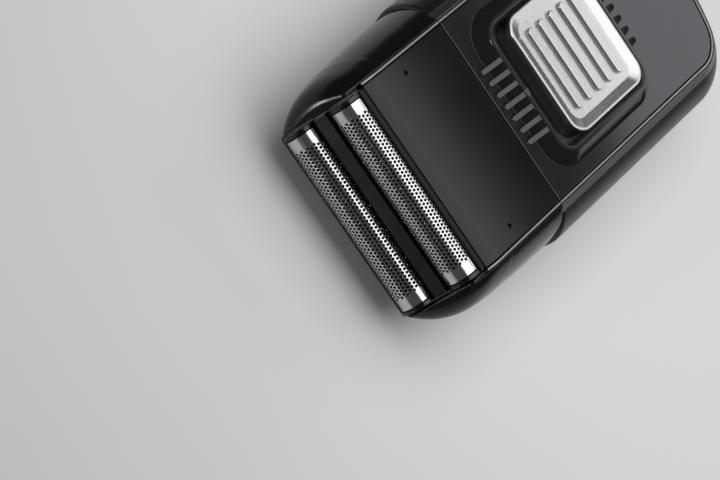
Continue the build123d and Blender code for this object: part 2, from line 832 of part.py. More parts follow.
def make_drive_bridge():
    """Oscillating bridge: plate on the rods, pin window, and an arm with a peg for each cutter."""
    bridge = block(-bridge_width / 2, bridge_width / 2, -bridge_near - bridge_thickness,
                   -bridge_near, bridge_bottom, bridge_top)
    pad_level = -cutter_base_drop - spring_height
    arms = [(bridge_top, bridge_top - arm_front_root, foil_pitch / 2),
            (bridge_bottom + arm_rear_root, bridge_bottom, -foil_pitch / 2)]
    for top, bottom, along in arms:
        bridge += arm(top, bottom, along)
        bridge += slant_rod(peg_radius, along, pad_level - pad_half / 2, pad_level + peg_height)
    y = -bridge_near - bridge_thickness / 2
    for level in (rod_low_level, rod_high_level):
        bridge -= rod_across(rod_radius + rod_play, rod_length, y, level)
    reach_x = pin_throw + pin_radius + cutter_stroke + pin_clear
    reach_z = pin_throw + pin_radius + pin_clear
    far = -cam_start - cam_length - pin_length - pin_clear
    return bridge - block(-reach_x, reach_x, far, -bridge_near,
                          motor_axis_level - reach_z, motor_axis_level + reach_z)


def make_cutter_spring(along):
    """Pressure spring round a peg, as a plain sleeve of its outer and inner size."""
    low = -cutter_base_drop - spring_height
    ring = slant_rod(spring_outer, along, low, -cutter_base_drop)
    return ring - slant_rod(spring_inner, along, low, -cutter_base_drop)


def half_round(radius, along, length, drop):
    """Half-round bar across the head in the slanted frame, with a straight skirt below."""
    outline = Circle(radius) & Pos(0, radius / 2, 0) * Rectangle(2 * radius, radius)
    if drop > 0:
        outline += Pos(0, -drop / 2, 0) * Rectangle(2 * radius, drop)
    across = Plane(origin=(-length / 2, along, 0), x_dir=(0, 1, 0), z_dir=(1, 0, 0))
    return extrude(across * outline, length)


def make_cutter(along):
    """Row of half-round blades on a base with the bore for the peg."""
    base_half = cutter_half - cutter_base_inset
    cutter = block(-base_half, base_half, along - cutter_base_width / 2,
                   along + cutter_base_width / 2, -cutter_base_drop, blade_root)
    bore = Pos(0, along, -cutter_base_drop + peg_bore_depth / 2)
    cutter -= bore * Cylinder(peg_radius + peg_play, peg_bore_depth)
    blade = half_round(cutter_radius, along, blade_pitch - blade_slot, 0)
    count = int((2 * base_half + blade_slot) / blade_pitch)
    for number in range(count):
        x = (number - (count - 1) / 2) * blade_pitch
        cutter += Pos(x, 0, 0) * blade
    return slanted * cutter


def head_section(half, widest, top, bottom, bottom_half, corner):
    """Cross-section of the head: flat front, swelling cheeks and rounded back."""
    right = ThreePointArc((trim_half, top), (half, widest), (bottom_half, bottom))
    left = ThreePointArc((-bottom_half, bottom), (-half, widest), (-trim_half, top))
    face = make_face([Line((-trim_half, top), (trim_half, top)), right,
                      Line((bottom_half, bottom), (-bottom_half, bottom)), left])
    corners = face.vertices().sort_by(Axis.Y)[0:2]
    return fillet(corners, corner)


def along_at(level, up):
    """Place along the slanted frame where a plane square to the foils' normal has this level."""
    return (level - cassette_level - sin_slant * up) / cos_slant


def head_form(inset, stations):
    """Head with domed cheeks, up to the last of the slanted stations, moved inwards by inset."""
    upright = []
    for y, narrow, lift in split_stations:
        outline = head_section(head_half - narrow - inset, head_widest_level, case_depth,
                               head_rise + lift + inset, head_bottom_width / 2,
                               head_bottom_corner - inset)
        upright.append(Plane.XZ.offset(y) * outline)
    domed = []
    for up, narrow, drop, behind in stations:
        outline = head_section(head_half - narrow - inset, along_at(head_widest_level, up),
                               along_at(case_depth - drop, up),
                               inset - frame_half_depth - behind, mouth_bottom_width / 2,
                               mouth_bottom_corner - inset)
        domed.append(slanted.offset(up) * outline)
    return loft(upright + domed[:1]) + loft(domed)


def make_head_shell():
    """Glossy shell of the head: two domed cheeks and the back in one moulding."""
    shell = head_form(0, cheek_stations)
    below = [station for station in cheek_stations if station[0] < frame_top]
    inner = head_form(head_wall, below)
    reach = 2 * case_depth
    channel = block(-channel_half, channel_half, -reach, reach, 0, case_depth + reach)
    shell -= inner & channel
    shell -= inner & block(-reach, reach, -cheek_hollow_length, reach, 0,
                           case_depth - panel_thickness - ledge_depth)
    shell -= block(-trim_half, trim_half, -reach, reach,
                   case_depth - panel_thickness, case_depth + reach)
    for side in (-1, 1):
        inside = side * (channel_half - ledge_width)
        outside = side * (channel_half + trim_zone)
        shell += block(min(inside, outside), max(inside, outside), -ledge_length, 0,
                       case_depth - panel_thickness - ledge_depth, case_depth - panel_thickness)
        for along in (-1, 1):
            place = along * shelf_middle
            shelf = block(min(inside, outside), max(inside, outside),
                          place - shelf_length / 2, place + shelf_length / 2,
                          -carrier_drop - shelf_thickness, -carrier_drop)
            shell += slanted * shelf & head_form(head_wall / 2, below)
    spigot = body_form(wall + snap_play, wall + snap_play, shoulder - roof, -snap_reach)
    for side in (-1, 1):
        outer = side * (head_half - head_wall + snap_play)
        inner = outer - side * snap_thickness
        tongue = block(min(inner, outer), max(inner, outer), -snap_reach, snap_reach,
                       head_widest_level - snap_height / 2, head_widest_level + snap_height / 2)
        shell += tongue & spigot
    shell -= slanted * block(-channel_half, channel_half, -reach, reach, -carrier_drop, reach)
    return shell


def panel_side(rise):
    """Side outline of the front panel: flat, rolled down towards the foils, with a deeper nose."""
    roll = math.radians(panel_roll_angle)
    end = on_slant(frame_half_depth, -carrier_drop)[0]
    run = panel_roll_radius * math.sin(roll)
    drop = panel_roll_radius * (1 - math.cos(roll))
    mid_run = panel_roll_radius * math.sin(roll / 2)
    mid_drop = panel_roll_radius * (1 - math.cos(roll / 2))
    top = case_depth + rise
    low = case_depth - panel_thickness
    nose_low = low - panel_nose_drop
    start = end + run
    past = end - panel_thickness
    past_top = top - drop - panel_thickness * math.tan(roll)
    return make_face([
        Line((-seam_gap, low), (-seam_gap, top)),
        Line((-seam_gap, top), (start, top)),
        ThreePointArc((start, top), (start - mid_run, top - mid_drop), (end, top - drop)),
        Line((end, top - drop), (past, past_top)),
        Line((past, past_top), (past, nose_low)),
        Line((past, nose_low), (end + panel_nose_length, nose_low)),
        Line((end + panel_nose_length, nose_low), (end + panel_nose_length, low)),
        Line((end + panel_nose_length, low), (-seam_gap, low))])


def cut_at_cassette(piece):
    """Piece without what would stand in the cassette's way."""
    reach = 2 * case_depth
    front = frame_half_depth + panel_play
    return piece - slanted * block(-reach, reach, -reach, front, -reach, reach)


def make_head_panel():
    """Flat black front panel of the head with two small dimples."""
    panel = extrude(Plane.YZ * panel_side(0), plate_half, both=True)
    flat = panel.faces().sort_by(Axis.Z)[-1]
    panel = fillet(flat.edges().filter_by(Axis.Y), panel_edge)
    panel = cut_at_cassette(panel)
    for side in (-1, 1):
        panel -= rod_up(dimple_radius, side * dimple_spacing / 2, -dimple_from_split,
                        case_depth - dimple_depth, case_depth + dimple_depth)
    return panel


def make_head_trim(side):
    """Thin metal strip between the front panel and one cheek, with a fine gap on each side."""
    profile = Plane.YZ * panel_side(trim_proud)
    strip = extrude(profile, trim_width, dir=(1, 0, 0))
    middle = side * (plate_half + trim_zone / 2)
    strip = Pos(middle - trim_width / 2, 0, 0) * strip
    strip = strip & block(-trim_half, trim_half, -2 * case_depth, 0,
                          case_depth - panel_thickness, 2 * case_depth)
    return cut_at_cassette(strip)


def make_cassette_frame():
    """Frame that carries both foils, with a tongue at each end."""
    half = frame_width / 2
    rim = RectangleRounded(frame_width, 2 * frame_half_depth, frame_corner)
    frame = prism(rim, -carrier_drop + seat_play, frame_top)
    slot_x = foil_length / 2 + end_cap_length + carrier_play
    for along in (-foil_pitch / 2, foil_pitch / 2):
        frame -= block(-slot_x, slot_x, along - slot_half, along + slot_half,
                       -2 * carrier_drop, 2 * frame_top)
    for side in (-1, 1):
        outer = side * half
        inner = side * (half - tongue_thickness)
        tongue = block(min(inner, outer), max(inner, outer), -tongue_width / 2, tongue_width / 2,
                       -carrier_drop - tongue_length, -carrier_drop + seat_play)
        for along in (-foil_pitch / 2, foil_pitch / 2):
            tongue -= block(-slot_x, slot_x, along - slot_half, along + slot_half,
                            -carrier_drop, 0)
        frame += tongue
    return slanted * frame


def make_divider_bar():
    """Smooth bar between the two foils, with a small chamfer along its edges."""
    half = foil_length / 2 + end_cap_length
    bar = block(-half, half, -divider_width / 2, divider_width / 2,
                frame_top, frame_top + divider_height)
    bar = chamfer(bar.faces().sort_by(Axis.Z)[-1].edges().filter_by(Axis.X), divider_chamfer)
    return slanted * bar


def make_foil_carrier(along):
    """Black carrier of one foil: two rails joined by a round-topped cap at each end."""
    length = foil_length + 2 * end_cap_length
    carrier = half_round(cap_radius, along, length, carrier_drop)
    carrier -= block(-foil_length / 2, foil_length / 2, along - cap_radius, along + cap_radius,
                     0, 2 * cap_radius)
    inner = cap_radius - carrier_rail
    carrier -= block(-foil_length / 2, foil_length / 2, along - inner, along + inner,
                     -2 * carrier_drop, cap_radius)
    return slanted * carrier


def make_foil(along):
    """Thin arched foil between its end caps, with a fine gap to each."""
    foil = half_round(foil_radius, along, foil_length - 2 * foil_end_gap, 0)
    foil -= half_round(foil_radius - foil_thickness, along, 2 * foil_length, 0)
    return slanted * foil


def build_parts():
    """Every piece by its node name."""
    skin = body_skin()
    front = foil_pitch / 2
    rear = -foil_pitch / 2
    return {
        "rear_shell": make_rear_shell(skin),
        "front_shell": make_front_shell(skin),
        "case_seal": make_case_seal(),
        "case_screws": make_case_screws(),
        "face_plate": make_face_plate(),
        "body_trim": make_body_trim(),
        "body_bezel": make_body_bezel(),
        "slide_tray": make_slide_tray(),
        "indicator_lens": lens_form(lens_proud),
        "slide_cap": make_slide_cap(),
        "slide_carrier": make_slide_carrier(),
        "switch_lever": make_switch_lever(),
        "switch_housing": make_switch_housing(),
        "circuit_board": make_circuit_board(),
        "charge_socket": make_charge_socket(),
        "battery_cell": make_battery_cell(),
        "battery_tabs": make_battery_tabs(),
        "motor_can": make_motor_can(),
        "motor_end_cap": make_motor_end_cap(),
        "motor_bushing": make_motor_bushing(),
        "motor_shaft": make_motor_shaft(),
        "motor_armature": make_motor_armature(),
        "eccentric_cam": make_eccentric_cam(),
        "shaft_seal": make_shaft_seal(),
        "motor_screws": make_motor_screws(),
        "drive_chassis": make_drive_chassis(),
        "chassis_screws": make_chassis_screws(),
        "guide_rods": make_guide_rods(),
        "drive_bridge": make_drive_bridge(),
        "cutter_spring_front": make_cutter_spring(front),
        "cutter_spring_rear": make_cutter_spring(rear),
        "cutter_front": make_cutter(front),
        "cutter_rear": make_cutter(rear),
        "head_shell": make_head_shell(),
        "head_panel": make_head_panel(),
        "head_trim_left": make_head_trim(-1),
        "head_trim_right": make_head_trim(1),
        "cassette_frame": make_cassette_frame(),
        "divider_bar": make_divider_bar(),
        "foil_carrier_front": make_foil_carrier(front),
        "foil_carrier_rear": make_foil_carrier(rear),
        "foil_front": make_foil(front),
        "foil_rear": make_foil(rear),
    }


os.makedirs("parts", exist_ok=True)
for node, piece in build_parts().items():
    export_step(Pos(0, centre_shift, 0) * piece, f"parts/{node}.step")
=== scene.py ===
import math

import bmesh
import bpy
from mathutils import Matrix, Vector


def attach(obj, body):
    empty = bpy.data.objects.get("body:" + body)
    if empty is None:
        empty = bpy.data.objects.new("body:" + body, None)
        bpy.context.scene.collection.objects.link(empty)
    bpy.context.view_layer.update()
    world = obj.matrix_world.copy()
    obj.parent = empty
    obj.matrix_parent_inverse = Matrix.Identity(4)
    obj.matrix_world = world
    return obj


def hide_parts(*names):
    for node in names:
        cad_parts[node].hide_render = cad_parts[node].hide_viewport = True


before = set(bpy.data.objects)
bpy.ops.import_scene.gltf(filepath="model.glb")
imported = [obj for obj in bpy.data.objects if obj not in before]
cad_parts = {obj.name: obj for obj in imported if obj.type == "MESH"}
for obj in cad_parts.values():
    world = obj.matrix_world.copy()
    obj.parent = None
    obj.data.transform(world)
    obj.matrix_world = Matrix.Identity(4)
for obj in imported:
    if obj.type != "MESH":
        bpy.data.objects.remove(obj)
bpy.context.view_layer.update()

MM = 0.001

# Sizes shared with the solids, in millimetres
case_depth = 28.0
body_length = 87.5
slant = 25.0
cassette_y = 35.7
cassette_level = 17.0
foil_radius = 4.25
foil_thickness = 0.25
foil_pitch = 13.0535
foil_seat = 47.4
foil_end_gap = 0.3
foil_length = foil_seat - 2 * foil_end_gap
end_cap_rim = 0.15
head_reach = cassette_y + math.sin(math.radians(slant)) * foil_pitch / 2 + foil_radius + end_cap_rim
centre_shift = (head_reach - body_length) / 2

# Perforation of the foils: rows of cells across the arch, the outermost two without holes
hole_columns = 43
cell_rows = 15
hole_pitch = 0.96
hole_radius = 0.37
hole_sides = 12
inner_radius = foil_radius - foil_thickness
row_pitch = math.pi * inner_radius / cell_rows
cell_weld = 0.01
face_weld = 0.005
foil_crease = 40.0

# Camera fitted to the photograph: its lens, and its place from the split at the front face
lens_mm = 129.85
sensor_mm = 36.0
camera_place = (-81.29, -411.18, 434.06)
camera_right = (0.562252, 0.584885, 0.584622)
camera_up = (-0.814216, 0.515193, 0.267636)
camera_back = (-0.144657, -0.626487, 0.765890)

# Studio, in metres
floor_reach = 1.5
softbox_height = 0.27


def colour(code):
    """Linear colour of an sRGB hex value."""
    parts = [int(code[start:start + 2], 16) / 255 for start in (1, 3, 5)]
    linear = [part / 12.92 if part <= 0.04045 else ((part + 0.055) / 1.055) ** 2.4
              for part in parts]
    return (*linear, 1.0)


def add(tree, kind, settings=None, inputs=None):
    """A node with its settings and its inputs, each a plain value or the socket that feeds it."""
    node = tree.nodes.new(kind)
    for key, value in (settings or {}).items():
        setattr(node, key, value)
    for key, value in (inputs or {}).items():
        if isinstance(value, bpy.types.NodeSocket):
            tree.links.new(value, node.inputs[key])
        else:
            node.inputs[key].default_value = value
    return node


def new_material(name, edge_mm, **values):
    """A material with one Principled shader, constant values set on it, and softened edges."""
    material = bpy.data.materials.new(name)
    material.use_nodes = True
    tree = material.node_tree
    tree.nodes.clear()
    edge = add(tree, "ShaderNodeBevel", {"samples": 4}, {"Radius": edge_mm * MM})
    shader = add(tree, "ShaderNodeBsdfPrincipled", None,
                 {"Normal": edge.outputs["Normal"], **values})
    add(tree, "ShaderNodeOutputMaterial", None, {"Surface": shader.outputs[0]})
    place = add(tree, "ShaderNodeTexCoord")
    return material, tree, shader, place.outputs["Object"]


def per_metre(size_mm):
    """Texture scale that gives features of about this size."""
    return 1.0 / (size_mm * MM)


def roughen(tree, shader, place, size_mm, low, high):
    """Patches of slightly different gloss, as handling leaves them."""
    patch = add(tree, "ShaderNodeTexNoise", None,
                {"Vector": place, "Scale": per_metre(size_mm), "Detail": 3.0})
    spread = add(tree, "ShaderNodeMapRange", None,
                 {"Value": patch.outputs["Fac"], "From Min": 0.3, "From Max": 0.7,
                  "To Min": low, "To Max": high})
    tree.links.new(spread.outputs["Result"], shader.inputs["Roughness"])


def grain(tree, shader, place, size_mm, height_mm, strength):
    """Fine moulded or blasted grain as bump, over the softened edges."""
    speck = add(tree, "ShaderNodeTexNoise", None,
                {"Vector": place, "Scale": per_metre(size_mm), "Detail": 2.0})
    bump = add(tree, "ShaderNodeBump", None,
               {"Height": speck.outputs["Fac"], "Strength": strength,
                "Distance": height_mm * MM, "Normal": shader.inputs["Normal"].links[0].from_socket})
    tree.links.new(bump.outputs["Normal"], shader.inputs["Normal"])


def streaks(tree, shader, place, sizes_mm, low, high):
    """Fine parallel lines in the gloss, as brushing, drawing or grinding leaves them."""
    lines = add(tree, "ShaderNodeMapping", None,
                {"Vector": place, "Scale": [per_metre(size) for size in sizes_mm]})
    streak = add(tree, "ShaderNodeTexNoise", None,
                 {"Vector": lines.outputs["Vector"], "Scale": 1.0, "Detail": 4.0})
    spread = add(tree, "ShaderNodeMapRange", None,
                 {"Value": streak.outputs["Fac"], "From Min": 0.3, "From Max": 0.7,
                  "To Min": low, "To Max": high})
    tree.links.new(spread.outputs["Result"], shader.inputs["Roughness"])
    return streak.outputs["Fac"]


def satin_black_abs():
    """Black ABS moulded in a spark-eroded tool: a soft even sheen with a very fine grain."""
    material, tree, shader, place = new_material(
        "satin_black_abs", 0.8, **{"Base Color": colour("#0A0A0B"), "IOR": 1.42})
    roughen(tree, shader, place, 14.0, 0.33, 0.36)
    grain(tree, shader, place, 0.25, 0.012, 0.5)
    return material


def satin_black_lacquer():
    """Black soft-touch lacquer of the head's front panel: near black with a tight satin sheen."""
    material, tree, shader, place = new_material(
        "satin_black_lacquer", 0.2, **{"Base Color": colour("#09090A"), "IOR": 1.36})
    roughen(tree, shader, place, 14.0, 0.12, 0.14)
    grain(tree, shader, place, 0.2, 0.01, 0.25)
    return material


def polished_black_abs():
    """Black ABS from a polished tool: deep gloss with faint handling haze."""
    material, tree, shader, place = new_material(
        "polished_black_abs", 0.5, **{"Base Color": colour("#060607"), "IOR": 1.42})
    roughen(tree, shader, place, 12.0, 0.13, 0.17)
    return material


def gunmetal_lacquer():
    """Metal plate under a dark satin gunmetal lacquer: a dull metallic glow with fine flake."""
    material, tree, shader, place = new_material(
        "gunmetal_lacquer", 0.2, **{"Metallic": 0.85, "IOR": 1.5})
    flake = add(tree, "ShaderNodeTexNoise", None,
                {"Vector": place, "Scale": per_metre(0.25), "Detail": 1.0})
    tone = add(tree, "ShaderNodeValToRGB", None, {"Fac": flake.outputs["Fac"]})
    tone.color_ramp.elements[0].position = 0.3
    tone.color_ramp.elements[0].color = colour("#363639")
    tone.color_ramp.elements[1].position = 0.75
    tone.color_ramp.elements[1].color = colour("#424245")
    tree.links.new(tone.outputs["Color"], shader.inputs["Base Color"])
    roughen(tree, shader, place, 14.0, 0.12, 0.14)
    grain(tree, shader, place, 0.25, 0.01, 0.25)
    return material


def grey_satin_abs():
    """Dark grey satin ABS of the bezel: smoother than the flanks, so its edge catches light."""
    material, tree, shader, place = new_material(
        "grey_satin_abs", 0.2, **{"Base Color": colour("#232325"), "IOR": 1.53})
    roughen(tree, shader, place, 8.0, 0.26, 0.32)
    grain(tree, shader, place, 0.2, 0.01, 0.3)
    return material


def satin_nickel():
    """Satin nickel plating of the thin trim: grey metal with a soft glow."""
    material, tree, shader, place = new_material(
        "satin_nickel", 0.15, **{"Base Color": colour("#747476"), "Metallic": 1.0})
    roughen(tree, shader, place, 3.0, 0.28, 0.36)
    return material


def brushed_aluminium():
    """Clear-anodised aluminium brushed across the slide: fine lines that spread the light."""
    material, tree, shader, place = new_material(
        "brushed_aluminium", 0.2, **{"Base Color": colour("#B4B5B7"), "Metallic": 1.0})
    # Brush lines are about 0.05 mm apart, drawn at 0.16 mm so that they show
    brush = streaks(tree, shader, place, (14.0, 0.16, 0.16), 0.24, 0.34)
    bump = add(tree, "ShaderNodeBump", None,
               {"Height": brush, "Strength": 0.25, "Distance": 0.01 * MM,
                "Normal": shader.inputs["Normal"].links[0].from_socket})
    tree.links.new(bump.outputs["Normal"], shader.inputs["Normal"])
    return material


def foil_steel():
    """Electroformed nickel-steel foil: bright, with a faint drawn grain along its length."""
    material, tree, shader, place = new_material(
        "foil_steel", 0.03, **{"Base Color": colour("#C2C2C4"), "Metallic": 1.0})
    streaks(tree, shader, place, (6.0, 0.3, 0.3), 0.1, 0.2)
    return material


def moulded_black_pom():
    """Black acetal of the working parts: waxy, slightly glossier than the case."""
    material, tree, shader, place = new_material(
        "moulded_black_pom", 0.2, **{"Base Color": colour("#0B0B0C"), "IOR": 1.48})
    roughen(tree, shader, place, 5.0, 0.2, 0.25)
    grain(tree, shader, place, 0.3, 0.01, 0.3)
    return material


def ground_steel():
    """Ground steel of rods, rails and screws: grey with fine grinding lines."""
    material, tree, shader, place = new_material(
        "ground_steel", 0.15, **{"Base Color": colour("#9A9B9D"), "Metallic": 1.0})
    streaks(tree, shader, place, (0.12, 4.0, 0.12), 0.22, 0.36)
    return material


def dark_plating():
    """Dark nickel plating of the foil carriers: nearly black, with bright glints on its edges."""
    material, tree, shader, place = new_material(
        "dark_plating", 0.15, **{"Base Color": colour("#3A3A3C"), "Metallic": 1.0})
    roughen(tree, shader, place, 3.0, 0.2, 0.26)
    return material


def painted_shade_blade_steel():
    """Hardened blade steel with the foil's shade painted into its colour: dark grey, finely ground.
    """
    material, tree, shader, place = new_material(
        # Dark grey base colour is painted shade: it stands for the shadow the foil casts on the
        # cutters
        "painted_shade_blade_steel", 0.05, **{"Base Color": colour("#2C2C2E"), "Metallic": 1.0})
    streaks(tree, shader, place, (0.12, 4.0, 0.12), 0.3, 0.45)
    return material


def silicone_seal():
    """Soft black silicone: no gloss, slightly mottled."""
    material, tree, shader, place = new_material(
        "silicone_seal", 0.1, **{"Base Color": colour("#101010"), "IOR": 1.41})
    roughen(tree, shader, place, 3.0, 0.6, 0.75)
    return material


def green_board():
    """Glass-fibre circuit board under green resist, with a faint weave."""
    material, tree, shader, place = new_material("green_board", 0.1, **{"IOR": 1.5})
    weave = add(tree, "ShaderNodeTexChecker", None,
                {"Vector": place, "Scale": per_metre(0.5),
                 "Color1": colour("#0C4A28"), "Color2": colour("#0A3F22")})
    tree.links.new(weave.outputs["Color"], shader.inputs["Base Color"])
    roughen(tree, shader, place, 4.0, 0.3, 0.4)
    return material


def shrink_sleeve():
    """Blue PVC shrink sleeve of the cell: glossy with slight ripples."""
    material, tree, shader, place = new_material(
        "shrink_sleeve", 0.3, **{"Base Color": colour("#1F4E86"), "IOR": 1.53})
    roughen(tree, shader, place, 4.0, 0.2, 0.3)
    grain(tree, shader, place, 3.0, 0.05, 0.4)
    return material


def sintered_bronze():
    """Sintered bronze and bare copper: warm, dull and slightly speckled."""
    material, tree, shader, place = new_material(
        "sintered_bronze", 0.1, **{"Base Color": colour("#B08650"), "Metallic": 1.0})
    roughen(tree, shader, place, 0.6, 0.35, 0.5)
    return material


def smoked_lens():
    """Smoked polycarbonate of the indicator lens: clear gloss over a grey body."""
    material, tree, shader, place = new_material(
        "smoked_lens", 0.15, **{"Base Color": colour("#4A4C50"), "IOR": 1.58})
    roughen(tree, shader, place, 1.0, 0.08, 0.14)
    return material


def pale_floor():
    """Matt pale studio floor."""
    material, tree, shader, place = new_material("pale_floor", 0.1,
                                                 **{"Base Color": colour("#D4D4D3")})
    roughen(tree, shader, place, 60.0, 0.75, 0.85)
    return material


def on_slant(along, up):
    """A point of the slanted foil frame in metres, along it towards the front and up out of it."""
    angle = math.radians(slant)
    y = -cassette_y + math.sin(angle) * along - math.cos(angle) * up + centre_shift
    z = cassette_level + math.cos(angle) * along + math.sin(angle) * up
    return Vector((0.0, y * MM, z * MM))


def foil_tile(name, width, height, holed):
    """One flat cell of the foil, with edge points where the cells of the next row begin."""
    half_x = width / 2 * MM
    half_y = height / 2 * MM
    work = bmesh.new()
    outline = [(-half_x, -half_y), (0, -half_y), (half_x, -half_y),
               (half_x, half_y), (0, half_y), (-half_x, half_y)]
    loops = [outline]
    if holed:
        turn = 2 * math.pi / hole_sides
        loops.append([(math.cos(turn * step) * hole_radius * MM,
                       math.sin(turn * step) * hole_radius * MM) for step in range(hole_sides)])
    edges = []
    for loop in loops:
        points = [work.verts.new((x, y, 0.0)) for x, y in loop]
        for number, point in enumerate(points):
            edges.append(work.edges.new((point, points[(number + 1) % len(points)])))
    bmesh.ops.triangle_fill(work, edges=edges, use_beauty=True)
    bmesh.ops.recalc_face_normals(work, faces=work.faces)
    for face in work.faces:
        if face.normal.z < 0:
            face.normal_flip()
    mesh = bpy.data.meshes.new(name)
    work.to_mesh(mesh)
    work.free()
    tile = bpy.data.objects.new(name, mesh)
    bpy.context.scene.collection.objects.link(tile)
    return tile


def foil_tree():
    """Geometry nodes that lay the cells in staggered rows, bend the sheet and thicken it."""
    tree = bpy.data.node_groups.new("perforated_foil", "GeometryNodeTree")
    sockets = {}
    wanted = [("Holed Cell", "NodeSocketObject"), ("Plain Cell", "NodeSocketObject"),
              ("Columns", "NodeSocketInt"), ("Rows", "NodeSocketInt"),
              ("Half Pitch", "NodeSocketFloat"), ("Row Pitch", "NodeSocketFloat"),
              ("Field Length", "NodeSocketFloat"), ("Field Width", "NodeSocketFloat"),
              ("Last Centre", "NodeSocketFloat"), ("Holed Reach", "NodeSocketFloat"),
              ("Filler Middle", "NodeSocketFloat"), ("End Width", "NodeSocketFloat"),
              ("End Middle", "NodeSocketFloat"), ("Sheet Width", "NodeSocketFloat"),
              ("Inner Radius", "NodeSocketFloat"), ("Thickness", "NodeSocketFloat"),
              ("Place", "NodeSocketVector"), ("Tilt", "NodeSocketFloat"),
              ("Steel", "NodeSocketMaterial")]
    for name, kind in wanted:
        socket = tree.interface.new_socket(name, in_out="INPUT", socket_type=kind)
        sockets[name] = socket.identifier
    tree.interface.new_socket("Geometry", in_out="OUTPUT", socket_type="NodeSocketGeometry")
    given = add(tree, "NodeGroupInput").outputs
    index = add(tree, "GeometryNodeInputIndex").outputs[0]
    position = add(tree, "GeometryNodeInputPosition").outputs[0]
    where = add(tree, "ShaderNodeSeparateXYZ", None, {"Vector": position}).outputs

    # Cell centres: every second row moves half a pitch and loses its last cell
    centres = add(tree, "GeometryNodeMeshGrid", None,
                  {"Vertices X": given["Columns"], "Vertices Y": given["Rows"],
                   "Size X": given["Field Length"], "Size Y": given["Field Width"]})
    row = add(tree, "ShaderNodeMath", {"operation": "MODULO"}, {0: index, 1: given["Rows"]})
    odd = add(tree, "ShaderNodeMath", {"operation": "MODULO"}, {0: row.outputs[0], 1: 2.0})
    nudge = add(tree, "ShaderNodeMath", {"operation": "MULTIPLY"},
                {0: odd.outputs[0], 1: given["Half Pitch"]})
    shift = add(tree, "ShaderNodeCombineXYZ", None, {"X": nudge.outputs[0]})
    moved = add(tree, "GeometryNodeSetPosition", None,
                {"Geometry": centres.outputs["Mesh"], "Offset": shift.outputs[0]})
    surplus = add(tree, "ShaderNodeMath", {"operation": "GREATER_THAN"},
                  {0: where["X"], 1: given["Last Centre"]})
    kept = add(tree, "GeometryNodeDeleteGeometry", {"domain": "POINT"},
               {"Geometry": moved.outputs[0], "Selection": surplus.outputs[0]})
    from_crest = add(tree, "ShaderNodeMath", {"operation": "ABSOLUTE"}, {0: where["Y"]})
    sheet = add(tree, "GeometryNodeJoinGeometry")
    for cell, test in (("Holed Cell", "LESS_THAN"), ("Plain Cell", "GREATER_THAN")):
        shape = add(tree, "GeometryNodeObjectInfo", None, {"Object": given[cell]})
        chosen = add(tree, "ShaderNodeMath", {"operation": test},
                     {0: from_crest.outputs[0], 1: given["Holed Reach"]})
        laid = add(tree, "GeometryNodeInstanceOnPoints", None,
                   {"Points": kept.outputs[0], "Selection": chosen.outputs[0],
                    "Instance": shape.outputs["Geometry"]})
        tree.links.new(laid.outputs[0], sheet.inputs[0])

    # One plain end with the half cells that fill the shorter rows, then the same end turned round
    row_edges = add(tree, "ShaderNodeMath", {"operation": "ADD"}, {0: given["Rows"], 1: 1.0})
    strip = add(tree, "GeometryNodeMeshGrid", None,
                {"Vertices X": 2, "Vertices Y": row_edges.outputs[0],
                 "Size X": given["End Width"], "Size Y": given["Sheet Width"]})
    strip_place = add(tree, "ShaderNodeCombineXYZ", None, {"X": given["End Middle"]})
    strip = add(tree, "GeometryNodeTransform", None,
                {"Geometry": strip.outputs["Mesh"], "Translation": strip_place.outputs[0]})
    half_cell = add(tree, "GeometryNodeMeshGrid", None,
                    {"Vertices X": 2, "Vertices Y": 2,
                     "Size X": given["Half Pitch"], "Size Y": given["Row Pitch"]})
    first_row = add(tree, "ShaderNodeMath", {"operation": "MULTIPLY"},
                    {0: given["Field Width"], 1: -0.5})
    start = add(tree, "ShaderNodeCombineXYZ", None,
                {"X": given["Filler Middle"], "Y": first_row.outputs[0]})
    step = add(tree, "ShaderNodeCombineXYZ", None, {"Y": given["Row Pitch"]})
    rows = add(tree, "GeometryNodeMeshLine", None,
               {"Count": given["Rows"], "Start Location": start.outputs[0],
                "Offset": step.outputs[0]})
    fillers = add(tree, "GeometryNodeInstanceOnPoints", None,
                  {"Points": rows.outputs[0], "Selection": odd.outputs[0],
                   "Instance": half_cell.outputs["Mesh"]})
    end = add(tree, "GeometryNodeJoinGeometry")
    tree.links.new(strip.outputs[0], end.inputs[0])
    tree.links.new(fillers.outputs[0], end.inputs[0])
    other_end = add(tree, "GeometryNodeTransform", None,
                    {"Geometry": end.outputs[0], "Rotation": (0.0, 0.0, math.pi)})
    tree.links.new(end.outputs[0], sheet.inputs[0])
    tree.links.new(other_end.outputs[0], sheet.inputs[0])

